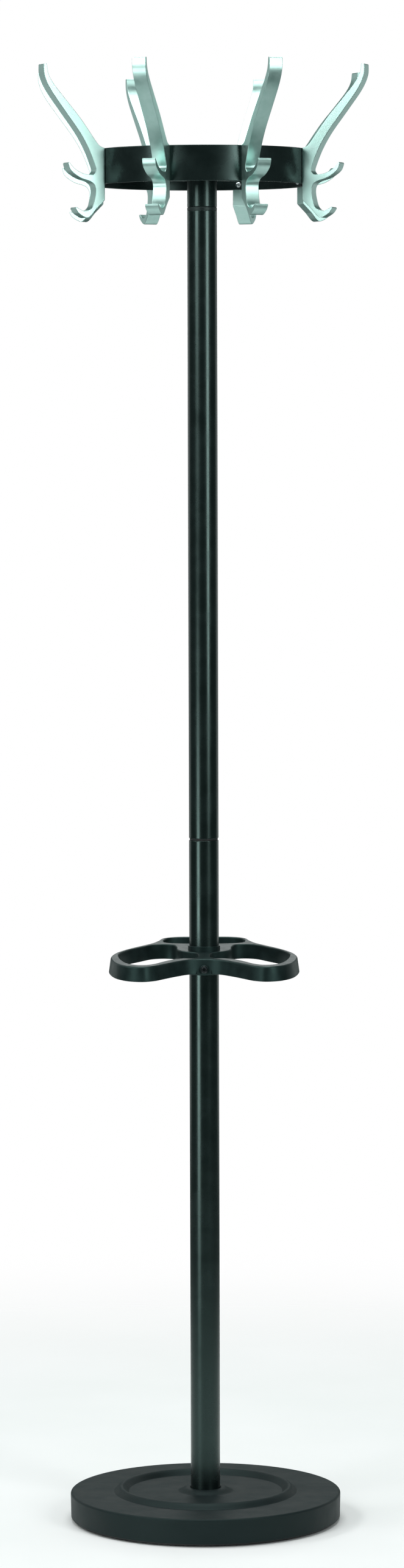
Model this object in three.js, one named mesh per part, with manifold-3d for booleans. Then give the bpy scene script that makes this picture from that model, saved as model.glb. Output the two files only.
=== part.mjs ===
// Standing coat rack: a weighted round foot with a drip tray, a two-piece steel pole, a clamped
// umbrella holder, and a crown ring with eight double hooks that swivels on top of the pole.
// Millimetres, +Z up, origin on the floor at the pole's axis, front towards -Y.

import * as THREE from 'three';
import { mergeVertices } from 'three/addons/utils/BufferGeometryUtils.js';
import Module from 'manifold-3d';

const wasm = await Module();
wasm.setup();

// ---------------------------------------------------------------- driving dimensions

const TUBE_R = 19; // 38 mm steel tube
const TUBE_WALL = 1.5;
const TUBE_BORE = TUBE_R - TUBE_WALL;
const TUBE_SIDES = 32;

const BASE_R = 175;
const BASE_TOP = 34.5;
const BASE_WALL = 2.6;
const FOOT_COUNT = 6;
const FOOT_CIRCLE = 145;
const FOOT_HEIGHT = 1.5;
const FOOT_TURN = -16.5; // degrees from the front

const JOINT_Z = 884.1; // top of the lower tube
const JOINT_GAP = 2.8;
const POLE_TOP = 1689.5;
const COLLAR_HEIGHT = 4.1;
const SWIVEL_GAP = 0.6;

const RING_R = 138.4;
const RING_WALL = 3;
const RING_BOTTOM = 1721.3;
const RING_HEIGHT = 44.7;
const RING_TOP = RING_BOTTOM + RING_HEIGHT;
const RING_SIDES = 48;
const HEAD_TURN = 2; // degrees that the crown is turned from the front at rest

const HOOK_COUNT = 8;
const HOOK_WIDTH = 18;
const SCREW_R = 2;
const SCREW_HEIGHTS = [RING_BOTTOM + 7, RING_TOP - 10];

const HOLDER_TOP = 742;
const HOLDER_BOTTOM = 723;
const HOLDER_HUB_TOP = 744.4;
const HOLDER_HUB_BOTTOM = 711;
const HOLDER_PITCH = 3; // degrees that the deck falls towards the front
const HOLDER_SKIN = 3;
const CLAMP_Z = 725;

// ---------------------------------------------------------------- finishes

const finish = (color, roughness, metalness) => new THREE.MeshStandardMaterial({ color, roughness, metalness });

const BLACK_COAT = finish(0x14191a, 0.35, 0.0);
const BLACK_PLASTIC = finish(0x1b2123, 0.5, 0.0);
const CHARCOAL_PLASTIC = finish(0x33393b, 0.65, 0.0);
const SATIN_ALUMINIUM = finish(0xc9cfce, 0.35, 1.0);
const ZINC_STEEL = finish(0xb8bcbc, 0.3, 1.0);
const CAST_IRON = finish(0x3a3a3a, 0.8, 0.6);
const RUBBER = finish(0x101010, 0.9, 0.0);
const NYLON = finish(0x2a2e2f, 0.5, 0.0);
const BRASS = finish(0xb08d4a, 0.35, 1.0);

// ---------------------------------------------------------------- making and joining solids

const rack = new THREE.Group();
const head = new THREE.Group();
head.rotation.z = THREE.MathUtils.degToRad(HEAD_TURN);
rack.add(head);

function add(name, geometry, material, parent = rack) {
  const mesh = new THREE.Mesh(geometry, material);
  mesh.name = name;
  parent.add(mesh);
  return mesh;
}

// One closed skin: vertices shared, triangles of no area dropped, faces pointing out.
function closedSkin(geometry) {
  const bare = geometry.clone();
  bare.deleteAttribute('normal');
  bare.deleteAttribute('uv');
  const merged = mergeVertices(bare, 1e-4);
  const index = Array.from(merged.index.array);
  const kept = [];
  let volume = 0;
  const corners = [new THREE.Vector3(), new THREE.Vector3(), new THREE.Vector3()];
  for (let i = 0; i < index.length; i += 3) {
    const [a, b, c] = [index[i], index[i + 1], index[i + 2]];
    if (a === b || b === c || c === a) continue;
    kept.push(a, b, c);
    [a, b, c].forEach((vertex, k) => corners[k].fromBufferAttribute(merged.attributes.position, vertex));
    volume += corners[0].dot(corners[1].cross(corners[2])) / 6;
  }
  if (volume < 0) {
    for (let i = 0; i < kept.length; i += 3) [kept[i + 1], kept[i + 2]] = [kept[i + 2], kept[i + 1]];
  }
  merged.setIndex(kept);
  return merged;
}

function toSolid(geometry) {
  const skin = closedSkin(geometry);
  const mesh = new wasm.Mesh({
    numProp: 3,
    vertProperties: Float32Array.from(skin.attributes.position.array),
    triVerts: Uint32Array.from(skin.index.array),
  });
  return new wasm.Manifold(mesh);
}

function toGeometry(solid) {
  const mesh = solid.getMesh();
  const geometry = new THREE.BufferGeometry();
  geometry.setAttribute('position', new THREE.BufferAttribute(Float32Array.from(mesh.vertProperties), 3));
  geometry.setIndex(Array.from(mesh.triVerts));
  geometry.computeVertexNormals();
  return geometry;
}

// A turned piece: [radius, height] points, closed on themselves or from axis to axis.
function turned(profile, sides = TUBE_SIDES) {
  const points = profile.map(([radius, height]) => new THREE.Vector2(radius, height));
  const [first, last] = [points[0], points[points.length - 1]];
  if (first.x > 0 || last.x > 0) points.push(first.clone());
  return closedSkin(new THREE.LatheGeometry(points, sides).rotateX(Math.PI / 2));
}

const sleeve = (inner, outer, bottom, top, sides) =>
  turned([[inner, bottom], [outer, bottom], [outer, top], [inner, top]], sides);

const rod = (radius, bottom, top, sides) =>
  turned([[0, bottom], [radius, bottom], [radius, top], [0, top]], sides);

// A tube with its two outer edges rolled over.
function tube(bottom, top) {
  const roll = 0.6;
  return turned([
    [TUBE_BORE, bottom], [TUBE_R - roll, bottom], [TUBE_R, bottom + roll],
    [TUBE_R, top - roll], [TUBE_R - roll, top], [TUBE_BORE, top],
  ]);
}

// An upright prism on a closed outline; its lower face may be larger by the draft factor.
function prism(outline, bottom, top, draft = 1) {
  const geometry = new THREE.ExtrudeGeometry(new THREE.Shape(outline), {
    depth: top - bottom, bevelEnabled: false, steps: 1,
  });
  geometry.translate(0, 0, bottom);
  const position = geometry.attributes.position;
  for (let i = 0; i < position.count; i += 1) {
    const scale = position.getZ(i) < (bottom + top) / 2 ? draft : 1;
    position.setXY(i, position.getX(i) * scale, position.getY(i) * scale);
  }
  return geometry;
}

// A rod along the direction from the axis at the given azimuth (degrees from the front).
function radially(geometry, azimuth, height) {
  return geometry
    .rotateY(Math.PI / 2)
    .rotateZ(THREE.MathUtils.degToRad(azimuth - 90))
    .translate(0, 0, height);
}

// ---------------------------------------------------------------- base

function makeBase() {
  const collar = [
    [TUBE_R + 0.6, BASE_TOP + 4.4], [24.5, BASE_TOP + 5], [29.5, BASE_TOP + 3.8],
    [33, BASE_TOP + 1.2], [36, BASE_TOP],
  ];
  const bead = { middle: 109, half: 9.5, height: 7, steps: 5 };
  const ridge = [];
  for (let i = 0; i <= bead.steps; i += 1) {
    const angle = Math.PI * (1 - i / bead.steps);
    ridge.push([bead.middle + bead.half * Math.cos(angle), BASE_TOP + bead.height * Math.sin(angle)]);
  }
  const edge = [
    [BASE_R - 3.5, BASE_TOP], [BASE_R - 1, BASE_TOP - 1], [BASE_R, BASE_TOP - 3.5],
    [BASE_R, 5.2], [BASE_R - 1.2, 4],
  ];
  const inside = [
    [BASE_R - BASE_WALL, 4], [BASE_R - BASE_WALL, BASE_TOP - BASE_WALL - 1],
    [BASE_R - BASE_WALL - 2, BASE_TOP - BASE_WALL], [TUBE_R + 0.6, BASE_TOP - BASE_WALL],
  ];
  add('base_cover', turned([...collar, ...ridge, ...edge, ...inside], 48), CHARCOAL_PLASTIC);

  const plate = [[17, FOOT_HEIGHT], [170, FOOT_HEIGHT], [171, 2.4], [171, 5], [17, 5]];
  add('base_plate', turned(plate, 48), BLACK_PLASTIC);

  const ballast = [[17, 5.5], [150, 5.5], [150, 15.5], [5.6, 15.5], [5.6, 10], [17, 10]];
  add('ballast_disc', turned(ballast, 48), CAST_IRON);

  for (let i = 0; i < FOOT_COUNT; i += 1) {
    const azimuth = THREE.MathUtils.degToRad(FOOT_TURN + (i * 360) / FOOT_COUNT);
    const foot = rod(12, 0, FOOT_HEIGHT, 20);
    foot.translate(FOOT_CIRCLE * Math.sin(azimuth), -FOOT_CIRCLE * Math.cos(azimuth), 0);
    add(`foot_${i + 1}`, foot, RUBBER);
  }

  const plug = [[5.4, 15.8], [26, 15.8], [26, 18.8], [17.2, 18.8], [17.2, 46], [5.4, 46]];
  add('pole_plug', turned(plug), ZINC_STEEL);
  add('base_washer', sleeve(5.6, 15, 7.8, 9.7, 24), ZINC_STEEL);
  const bolt = toSolid(rod(9.2, 1.8, 7.6, 6)).add(toSolid(rod(5.1, 7, 44, 16)));
  add('base_bolt', toGeometry(bolt), ZINC_STEEL);
}

// ---------------------------------------------------------------- pole

function makePole() {
  add('lower_tube', tube(19.1, JOINT_Z), BLACK_COAT);
  add('upper_tube', tube(JOINT_Z + JOINT_GAP, POLE_TOP), BLACK_COAT);
  const middle = JOINT_Z + JOINT_GAP / 2;
  add('joint_ring', sleeve(13.6, TUBE_R - 0.9, JOINT_Z + 0.05, JOINT_Z + JOINT_GAP - 0.05), BLACK_PLASTIC);
  const spigot = [
    [9, middle - 40], [TUBE_BORE - 0.2, middle - 40], [TUBE_BORE - 0.2, JOINT_Z - 0.3],
    [13.3, JOINT_Z - 0.3], [13.3, JOINT_Z + JOINT_GAP + 0.3],
    [TUBE_BORE - 0.2, JOINT_Z + JOINT_GAP + 0.3], [TUBE_BORE - 0.2, middle + 40], [9, middle + 40],
  ];
  add('joint_spigot', turned(spigot), ZINC_STEEL);
}

// ---------------------------------------------------------------- swivel

const BUSH_BORE = 8.3;
const BUSH_BOTTOM = POLE_TOP - 40;
const COLLAR_TOP = POLE_TOP + COLLAR_HEIGHT;
const NECK_BOTTOM = COLLAR_TOP + SWIVEL_GAP;
const NECK_TOP = 1757;

function makeSwivel() {
  const bush = [
    [BUSH_BORE, BUSH_BOTTOM], [TUBE_BORE - 0.2, BUSH_BOTTOM], [TUBE_BORE - 0.2, POLE_TOP],
    [TUBE_R, POLE_TOP], [TUBE_R, COLLAR_TOP], [BUSH_BORE, COLLAR_TOP],
  ];
  add('bearing_bush', turned(bush), NYLON);

  const spindle = [
    [0, BUSH_BOTTOM - 17], [6, BUSH_BOTTOM - 17], [6, BUSH_BOTTOM - 0.3],
    [BUSH_BORE - 0.08, BUSH_BOTTOM - 0.3], [BUSH_BORE - 0.08, NECK_BOTTOM + 20], [0, NECK_BOTTOM + 20],
  ];
  add('swivel_spindle', turned(spindle), ZINC_STEEL, head);
  add('thrust_washer', sleeve(BUSH_BORE + 0.2, TUBE_R - 0.7, COLLAR_TOP + 0.08, NECK_BOTTOM - 0.02), NYLON, head);
  add('spindle_washer', sleeve(6.3, 13, BUSH_BOTTOM - 2.4, BUSH_BOTTOM - 0.5, 24), ZINC_STEEL, head);
  const nut = toSolid(rod(10.6, BUSH_BOTTOM - 12.6, BUSH_BOTTOM - 2.6, 6));
  const thread = toSolid(rod(6.3, BUSH_BOTTOM - 20, BUSH_BOTTOM, 24));
  add('spindle_nut', toGeometry(nut.subtract(thread)), ZINC_STEEL, head);

  add('neck_hub', sleeve(BUSH_BORE + 0.1, TUBE_BORE - 0.2, NECK_BOTTOM, NECK_BOTTOM + 18), ZINC_STEEL, head);
  add('neck_tube', tube(NECK_BOTTOM, NECK_TOP), BLACK_COAT, head);
  const cap = [
    [0, NECK_TOP - 10], [TUBE_BORE - 0.2, NECK_TOP - 10], [TUBE_BORE - 0.2, NECK_TOP + 0.05],
    [TUBE_R, NECK_TOP + 0.05], [TUBE_R, NECK_TOP + 1.5], [TUBE_R - 2, NECK_TOP + 3.2], [0, NECK_TOP + 4],
  ];
  add('neck_cap', turned(cap), BLACK_PLASTIC, head);
}

// ---------------------------------------------------------------- crown ring and its arms

const HOOK_AZIMUTHS = Array.from({ length: HOOK_COUNT }, (_, i) => (i + 0.5) * (360 / HOOK_COUNT));

function makeCrown() {
  const inner = RING_R - RING_WALL;
  let band = toSolid(sleeve(inner, RING_R, RING_BOTTOM, RING_TOP, RING_SIDES));
  for (const azimuth of HOOK_AZIMUTHS) {
    for (const height of SCREW_HEIGHTS) {
      const hole = radially(rod(SCREW_R + 0.3, inner - 5, RING_R + 5, 8), azimuth, height);
      band = band.subtract(toSolid(hole));
    }
  }
  add('ring_band', toGeometry(band), BLACK_COAT, head);

  const arm = { from: TUBE_R + 0.3, to: inner - 0.5, thick: 4, bottom: 1727, top: 1753 };
  for (let i = 0; i < 4; i += 1) {
    const length = arm.to - arm.from;
    const bar = new THREE.BoxGeometry(length, arm.thick, arm.top - arm.bottom);
    bar.translate(arm.from + length / 2, 0, (arm.top + arm.bottom) / 2);
    add(`crown_arm_${i + 1}`, closedSkin(bar.rotateZ((i * Math.PI) / 2)), BLACK_COAT, head);
  }
}

// ---------------------------------------------------------------- hooks

// The hook's side outline, from its flat back (x = 0) outwards; y = 0 is the top of the ring.
function hookOutline() {
  const outline = new THREE.Shape();
  const through = (...points) => outline.splineThru(points.map(([x, y]) => new THREE.Vector2(x, y)));
  outline.moveTo(0, -65.5);
  outline.lineTo(0, 0);
  through([7, 2.8], [13.5, 10.5], [32.6, 36.2], [54.8, 61.8], [69.3, 79], [76.5, 91.5], [78.6, 104]);
  outline.lineTo(82.6, 103.4);
  through([81.8, 89], [73.6, 71.5], [54.8, 46.2], [34.5, 19.6], [22, -1.2], [13.6, -20.8], [11.8, -28.5], [15.6, -34]);
  through([28.5, -32.8], [40.5, -27], [48.8, -18.2]);
  outline.lineTo(50, -20.4);
  through([46, -29.3], [33.5, -37.8], [18.2, -43], [12.6, -51], [13.8, -64.5], [18, -75.5], [27.5, -79.8], [39.2, -74.5]);
  outline.lineTo(40.2, -76.4);
  through([35, -83], [23, -87.8], [12, -77]);
  outline.closePath();
  return outline;
}

function makeHooks() {
  const back = RING_R + 0.1;
  const blank = new THREE.ExtrudeGeometry(hookOutline(), {
    depth: HOOK_WIDTH, bevelEnabled: false, steps: 1, curveSegments: 2,
  });
  blank.translate(0, 0, -HOOK_WIDTH / 2).rotateX(Math.PI / 2).translate(back, 0, RING_TOP);
  const depth = 8;
  const screw = { head: 3.6, top: RING_R - RING_WALL - 0.4 };

  HOOK_AZIMUTHS.forEach((azimuth, i) => {
    const turn = THREE.MathUtils.degToRad(azimuth - 90);
    let hook = toSolid(blank.clone().rotateZ(turn));
    SCREW_HEIGHTS.forEach((height, k) => {
      const tapped = radially(rod(SCREW_R + 0.3, back - 1, back + depth, 8), azimuth, height);
      hook = hook.subtract(toSolid(tapped));
      const shape = turned([
        [0, screw.top - 2.6], [2.2, screw.top - 2.1], [screw.head, screw.top - 0.4], [screw.head, screw.top],
        [SCREW_R, screw.top], [SCREW_R, back + depth - 0.5], [0, back + depth - 0.5],
      ], 8);
      const side = k === 0 ? 'lower' : 'upper';
      add(`hook_screw_${i + 1}_${side}`, radially(shape, azimuth, height), ZINC_STEEL, head);
    });
    add(`hook_${i + 1}`, toGeometry(hook), SATIN_ALUMINIUM, head);
  });
}

// ---------------------------------------------------------------- umbrella holder

const mirrored = (points) => points.map(([x, y]) => [-x, y]).reverse();

function closedCurve(points, count) {
  const curve = new THREE.CatmullRomCurve3(points.map(([x, y]) => new THREE.Vector3(x, y, 0)), true);
  return curve.getPoints(count).slice(0, count).map((p) => new THREE.Vector2(p.x, p.y));
}

// Every point of a closed outline moved along its own normal; a positive distance grows it.
function offset(outline, distance) {
  const sign = THREE.ShapeUtils.isClockWise(outline) ? -1 : 1;
  return outline.map((point, i) => {
    const before = outline[(i + outline.length - 1) % outline.length];
    const after = outline[(i + 1) % outline.length];
    const along = after.clone().sub(before).normalize();
    return new THREE.Vector2(point.x + sign * distance * along.y, point.y - sign * distance * along.x);
  });
}

function makeHolder() {
  const rightHalf = [
    [35.5, 111], [53, 101], [60, 79], [68, 58], [83.5, 34], [100.5, 7], [113, -20], [119, -50], [118, -78],
    [109, -113], [93.5, -132], [77, -136.5], [63, -129], [51, -114], [37.5, -97], [20, -80],
  ];
  const outer = closedCurve([[0, 112], ...rightHalf, [0, -74.5], ...mirrored(rightHalf)], 60);
  const sideOpening = [
    [109, -29], [99, -1], [83, 22], [67.5, 42], [53, 47], [40.5, 43], [36, 29], [34.5, 4], [29, -8],
    [17.5, -17.5], [9.5, -24.5], [7.2, -42], [8.8, -59], [15, -66], [25, -67], [35, -72], [45, -82],
    [54.5, -96], [64, -111], [74, -119], [85, -118.5], [95.5, -109], [103.5, -87], [108.5, -58],
  ];
  const backHalf = [[35.5, 105], [48, 97], [53, 79], [49.5, 62], [36, 56]];
  const openings = [
    { outline: closedCurve(sideOpening, 34), wall: HOLDER_SKIN },
    { outline: closedCurve(mirrored(sideOpening), 34), wall: HOLDER_SKIN },
    { outline: closedCurve([[0, 106], ...backHalf, [0, 52], ...mirrored(backHalf)], 24), wall: 9 },
  ];

  let body = toSolid(prism(outer, HOLDER_BOTTOM, HOLDER_TOP, 1.02));
  let pocket = toSolid(prism(offset(outer, -HOLDER_SKIN), HOLDER_BOTTOM - 1, HOLDER_TOP - HOLDER_SKIN));
  for (const { outline, wall } of openings) {
    body = body.subtract(toSolid(prism(outline, HOLDER_BOTTOM - 1, HOLDER_TOP + 1)));
    pocket = pocket.subtract(toSolid(prism(offset(outline, wall), HOLDER_BOTTOM - 2, HOLDER_TOP)));
  }
  const hubR = 23.5;
  const fall = Math.tan(THREE.MathUtils.degToRad(HOLDER_PITCH));
  const web = new THREE.BoxGeometry(18, 64, 40).translate(0, -50, HOLDER_TOP);
  pocket = pocket.subtract(toSolid(rod(hubR - 0.8, HOLDER_BOTTOM - 2, HOLDER_TOP, TUBE_SIDES)));
  pocket = pocket.subtract(toSolid(web.translate(0, 0, -12)));
  const pitched = new THREE.Matrix4().makeShear(0, 0, 0, fall, 0, 0);
  body = toSolid(toGeometry(body.subtract(pocket)).applyMatrix4(pitched));

  const hub = turned([
    [0, HOLDER_HUB_BOTTOM], [TUBE_R + 2, HOLDER_HUB_BOTTOM], [hubR, HOLDER_BOTTOM - 4],
    [hubR, HOLDER_TOP - 1.5], [TUBE_R + 1.6, HOLDER_TOP - 1.5], [TUBE_R + 1.6, HOLDER_HUB_TOP - 0.4],
    [TUBE_R + 1.2, HOLDER_HUB_TOP], [0, HOLDER_HUB_TOP],
  ]);
  body = body.add(toSolid(hub));

  const rib = [[0, 0], [5.5, 0], [0, 11.5]].map(([x, y]) => new THREE.Vector2(x, y));
  for (const side of [-1, 1]) {
    const fin = new THREE.ExtrudeGeometry(new THREE.Shape(rib), { depth: 1.8, bevelEnabled: false, steps: 1 });
    fin.translate(-0.8, 0, -0.9).rotateX(Math.PI / 2).rotateZ(-Math.PI / 2);
    body = body.add(toSolid(fin.translate(side * 8.2, -74.6, HOLDER_BOTTOM - 75 * fall)));
  }
  const boss = new THREE.CylinderGeometry(5.4, 5.4, 6, 20).translate(0, -75.6, CLAMP_Z);
  body = body.add(toSolid(boss));

  const screwHole = new THREE.CylinderGeometry(2.8, 2.8, 70, 12).translate(0, -50, CLAMP_Z);
  const insertHole = new THREE.CylinderGeometry(4.4, 4.4, 24, 16).translate(0, -24, CLAMP_Z);
  const bore = rod(TUBE_R + 0.08, HOLDER_HUB_BOTTOM - 1, HOLDER_HUB_TOP + 1, TUBE_SIDES);
  body = body.subtract(toSolid(screwHole)).subtract(toSolid(insertHole)).subtract(toSolid(bore));
  add('umbrella_holder', toGeometry(body), BLACK_PLASTIC);

  const insert = sleeve(2.8, 4.1, -6, 6, 16).rotateX(Math.PI / 2).translate(0, -29.5, CLAMP_Z);
  add('clamp_insert', insert, BRASS);
  const screw = turned([[0, 3.2], [2.6, 2.8], [4.6, 0.8], [4.6, 0], [2.5, 0], [2.5, -59], [0, -59]], 16);
  add('clamp_screw', screw.rotateX(Math.PI / 2).translate(0, -78.7, CLAMP_Z), BLACK_COAT);
}

makeBase();
makePole();
makeSwivel();
makeCrown();
makeHooks();
makeHolder();

export default rack;
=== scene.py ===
import math

import bpy
import numpy as np
from mathutils import Matrix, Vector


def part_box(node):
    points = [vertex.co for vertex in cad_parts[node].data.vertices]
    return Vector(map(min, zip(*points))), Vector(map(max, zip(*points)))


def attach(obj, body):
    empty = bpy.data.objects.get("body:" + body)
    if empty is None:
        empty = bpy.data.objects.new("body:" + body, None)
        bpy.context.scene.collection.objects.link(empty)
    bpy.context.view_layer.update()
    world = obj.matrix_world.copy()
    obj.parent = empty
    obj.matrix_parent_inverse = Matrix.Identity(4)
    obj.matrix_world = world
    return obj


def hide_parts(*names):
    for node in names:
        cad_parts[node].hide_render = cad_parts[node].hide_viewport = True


# A standing coat rack. The sections follow it as it is put together: the weighted foot, the pole,
# the umbrella holder, the swivel, the crown ring and its hooks, and last the studio around it.
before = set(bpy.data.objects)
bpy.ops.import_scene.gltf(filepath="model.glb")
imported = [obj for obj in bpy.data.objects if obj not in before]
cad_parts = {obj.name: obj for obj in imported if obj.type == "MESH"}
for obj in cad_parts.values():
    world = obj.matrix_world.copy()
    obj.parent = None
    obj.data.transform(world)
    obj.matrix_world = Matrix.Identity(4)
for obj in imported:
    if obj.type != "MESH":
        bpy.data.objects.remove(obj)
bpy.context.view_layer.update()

# ---------------------------------------------------------------- closing plate and rubber feet
# The underside of the foot: a disc of black polypropylene, injection moulded with two stiffening
# grooves, and six round pads of moulded rubber glued under it.

MM = 0.001


def linear(code):
    """The linear red, green, blue and alpha of an sRGB hex colour."""
    value = np.array([int(code[i:i + 2], 16) for i in (1, 3, 5)]) / 255
    straight, curved = value / 12.92, ((value + 0.055) / 1.055) ** 2.4
    return (*np.where(value <= 0.04045, straight, curved).tolist(), 1.0)


def node(tree, kind, inputs=None, **settings):
    """Adds a shader node, sets its properties, and sets or links its inputs."""
    made = tree.nodes.new(kind)
    for name, value in settings.items():
        setattr(made, name, value)
    for name, value in (inputs or {}).items():
        if isinstance(value, bpy.types.NodeSocket):
            tree.links.new(value, made.inputs[name])
        else:
            made.inputs[name].default_value = value
    return made


def surface(name, **sockets):
    """A material with those values on its own shader: the material, its tree, shader and coordinates."""
    made = bpy.data.materials.new(name)
    made.use_nodes = True
    shader = made.node_tree.nodes["Principled BSDF"]
    for socket, value in sockets.items():
        shader.inputs[socket.replace("_", " ")].default_value = value
    place = node(made.node_tree, "ShaderNodeTexCoord").outputs["Object"]
    return made, made.node_tree, shader, place


def blotched(tree, shader, where, size, colours, roughness):
    """Soft blotches of that size: they wander between two colours and between two roughnesses."""
    cloud = node(tree, "ShaderNodeTexNoise", {"Vector": where, "Scale": 1 / size, "Detail": 3.0})
    level = node(tree, "ShaderNodeMapRange", {0: cloud.outputs[0], 1: 0.3, 2: 0.7}).outputs[0]
    paint = node(
        tree, "ShaderNodeMix", {0: level, 6: linear(colours[0]), 7: linear(colours[1])}, data_type="RGBA"
    )
    tree.links.new(paint.outputs[2], shader.inputs["Base Color"])
    rough = node(tree, "ShaderNodeMapRange", {0: level, 3: roughness[0], 4: roughness[1]})
    tree.links.new(rough.outputs[0], shader.inputs["Roughness"])


def grained(tree, shader, where, *layers):
    """Bumps laid over each other: each layer is (size across, depth) of a noise, in metres."""
    normal = None
    for size, depth in layers:
        grit = node(tree, "ShaderNodeTexNoise", {"Vector": where, "Scale": 1 / size, "Detail": 2.0})
        inputs = {"Height": grit.outputs[0], "Distance": depth, "Strength": 1.0}
        if normal is not None:
            inputs["Normal"] = normal
        normal = node(tree, "ShaderNodeBump", inputs).outputs[0]
    tree.links.new(normal, shader.inputs["Normal"])


def rounded(corners, steps=5):
    """The outline through corners (x, y, radius), each turned into an arc tangent to its two sides.
    The arc's centre is on the corner's bisector, at radius / sin(half the corner's angle), and its
    points swing evenly round that centre from one side to the other."""
    corners = np.asarray(corners, float)
    here, radius = corners[:, :2], corners[:, 2:]
    back, ahead = np.roll(here, 1, 0) - here, np.roll(here, -1, 0) - here
    back /= np.linalg.norm(back, axis=1, keepdims=True) + 1e-12
    ahead /= np.linalg.norm(ahead, axis=1, keepdims=True) + 1e-12
    half = np.arccos(np.clip((back * ahead).sum(1, keepdims=True), -1, 1)) / 2
    half = np.clip(half, 1e-3, np.pi / 2 - 1e-3)
    bisector = back + ahead
    bisector /= np.linalg.norm(bisector, axis=1, keepdims=True) + 1e-12
    centre = here + bisector * radius / np.sin(half)
    first = (here + back * radius / np.tan(half) - centre)[:, None]
    last = (here + ahead * radius / np.tan(half) - centre)[:, None]
    sweep = (np.pi - 2 * half)[:, None]
    t = np.linspace(0, 1, steps + 1)[None, :, None]
    arcs = centre[:, None] + (np.sin((1 - t) * sweep) * first + np.sin(t * sweep) * last) / np.sin(sweep)
    points = np.where(radius[:, None] > 0, arcs, here[:, None]).reshape(-1, 2)
    return points[np.abs(points - np.roll(points, 1, 0)).max(1) > 1e-6]


def turned(profile, sides=192, flats=None):
    """A surface of revolution: (radius, z) at turn u goes to (radius cos u, radius sin u, z). Where
    flats is 1 the radius is divided by cos(u within its sixth of a turn), which makes a hexagon of it.
    A profile that starts and ends on the axis is closed there by fans, any other closes on itself."""
    profile = np.asarray(profile, float)
    flats = np.zeros(len(profile)) if flats is None else np.asarray(flats, float)
    onward = np.roll(profile, -1, 0)
    if (profile[:, 0] * onward[:, 1] - onward[:, 0] * profile[:, 1]).sum() < 0:
        profile, flats = profile[::-1], flats[::-1]
    solid = profile[0, 0] < 1e-9
    ends = profile[[0, -1], 1]
    if solid:
        profile, flats = profile[1:-1], flats[1:-1]
    rows = len(profile)
    u = np.arange(sides) * 2 * np.pi / sides
    hexagon = 1 / np.cos((u + np.pi / 6) % (np.pi / 3) - np.pi / 6)
    radius = profile[:, :1] * (1 + flats[:, None] * (hexagon - 1))
    height = np.broadcast_to(profile[:, 1:], radius.shape)
    points = np.stack([radius * np.cos(u), radius * np.sin(u), height], -1).reshape(-1, 3)
    row, column = np.meshgrid(np.arange(rows - 1 if solid else rows), np.arange(sides), indexing="ij")
    above, beside = (row + 1) % rows, (column + 1) % sides
    faces = np.stack(
        [row * sides + column, row * sides + beside, above * sides + beside, above * sides + column], -1
    ).reshape(-1, 4).tolist()
    if solid:
        points = np.vstack([points, [[0, 0, ends[0]], [0, 0, ends[1]]]])
        j = np.arange(sides)
        k = (j + 1) % sides
        low, high = np.full(sides, rows * sides), np.full(sides, rows * sides + 1)
        top = (rows - 1) * sides
        faces += np.stack([low, k, j], -1).tolist() + np.stack([high, top + j, top + k], -1).tolist()
    return points, faces


def mesh_of(points, faces):
    """A mesh of those points and faces."""
    mesh = bpy.data.meshes.new("shape")
    mesh.from_pydata(np.asarray(points).tolist(), [], faces)
    return mesh


def piece(name, mesh, finish, body, slot, *stands_for):
    """Shows a mesh as a piece of the rack that rides on body and stands for those frame nodes. It is
    shaded smooth except over edges sharper than 35 degrees, with flat faces kept flat."""
    mesh.name = name
    mesh.materials.clear()
    mesh.materials.append(finish)
    mesh.shade_smooth()
    mesh.set_sharp_from_angle(angle=math.radians(35))
    made = bpy.data.objects.new(name, mesh)
    bpy.context.scene.collection.objects.link(made)
    made.modifiers.new("flat_faces_stay_flat", "WEIGHTED_NORMAL").keep_sharp = True
    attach(made, body)
    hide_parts(*stands_for)
    return made


def black_polypropylene():
    """Moulded polypropylene: an even, slightly waxy black with a faint grain of about 0.8 mm."""
    made, tree, shader, place = surface("moulded black polypropylene", IOR=1.49)
    blotched(tree, shader, place, 22 * MM, ("#15191A", "#1D2223"), (0.46, 0.58))
    grained(tree, shader, place, (0.8 * MM, 0.012 * MM))
    return made


def moulded_rubber():
    """Moulded rubber: dull black, a little dusty, with a fine matt grain of about 0.5 mm."""
    made, tree, shader, place = surface("moulded rubber", IOR=1.52)
    blotched(tree, shader, place, 4 * MM, ("#0E0F0F", "#191A1A"), (0.8, 0.92))
    grained(tree, shader, place, (0.5 * MM, 0.03 * MM))
    return made


polypropylene = black_polypropylene()
rubber = moulded_rubber()

plate_low, plate_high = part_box("base_plate")
plate_hole = 17 * MM
groove_places = np.array([58, 112]) * MM
groove_half, groove_depth = 5 * MM, 0.9 * MM
r = np.linspace(plate_hole + 1 * MM, plate_high.x - 3 * MM, 120)
near = np.clip(np.abs(r[:, None] - groove_places).min(1) / groove_half, 0, 1)
underside = plate_low.z + groove_depth * np.cos(near * np.pi / 2) ** 2
plate_profile = np.vstack([
    [[plate_hole, plate_low.z, 0.3 * MM]],
    np.stack([r, underside, np.zeros(len(r))], -1),
    [[plate_high.x - 1 * MM, plate_low.z, 0.6 * MM], [plate_high.x, plate_low.z + 0.9 * MM, 0.4 * MM],
     [plate_high.x, plate_high.z, 0.5 * MM], [plate_hole, plate_high.z, 0.3 * MM]],
])
piece("closing_plate", mesh_of(*turned(rounded(plate_profile))), polypropylene, "pole", "black_plastic",
      "base_plate")

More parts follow.
